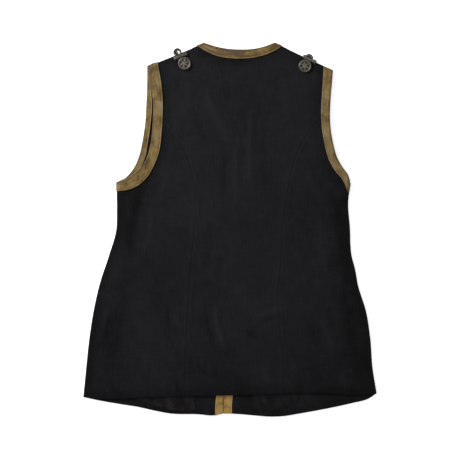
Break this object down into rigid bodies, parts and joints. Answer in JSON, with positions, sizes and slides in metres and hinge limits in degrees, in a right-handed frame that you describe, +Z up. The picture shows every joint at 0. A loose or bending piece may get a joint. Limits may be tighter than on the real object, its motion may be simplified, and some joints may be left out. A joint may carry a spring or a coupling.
{
  "type": "folk-dress vest laid flat, back up",
  "caption": "Long sleeveless wool vest laid flat with its back up, bound with folded ribbon, with two silver clasps at the shoulders.",
  "frame": {"origin": "on the surface that the vest lies on, under the middle of its outline", "axes": "+X to the right of the laid-out vest, +Y from the hem to the neck, +Z up from the surface"},
  "size_m": [0.5706, 0.7277, 0.0115],
  "materials": {
    "black_wool": "plain-woven black wool, matt, slightly faded",
    "dark_lining": "black cotton-satin lining, slightly shiny, creased",
    "gold_ribbon": "bronze-gold satin ribbon, worn and streaked",
    "antique_silver": "cast silver, dark in its hollows and rubbed on its high parts"
  },
  "bodies": {
    "root": {"back_centre": "black_wool", "back_side_left": "black_wool", "back_side_right": "black_wool", "front_left": "black_wool", "front_right": "black_wool", "front_lining_left": "dark_lining", "front_lining_right": "dark_lining", "neck_binding": "gold_ribbon", "armhole_binding_back_left": "gold_ribbon", "armhole_binding_back_right": "gold_ribbon", "armhole_binding_front_left": "gold_ribbon", "armhole_binding_front_right": "gold_ribbon", "front_edge_binding_left": "gold_ribbon", "front_edge_binding_right": "gold_ribbon", "clasp_plate_left": "antique_silver", "clasp_plate_right": "antique_silver", "clasp_bar_left": "antique_silver", "clasp_bar_right": "antique_silver", "clasp_disc_left": "antique_silver", "clasp_disc_right": "antique_silver"}
  },
  "joints": []
}
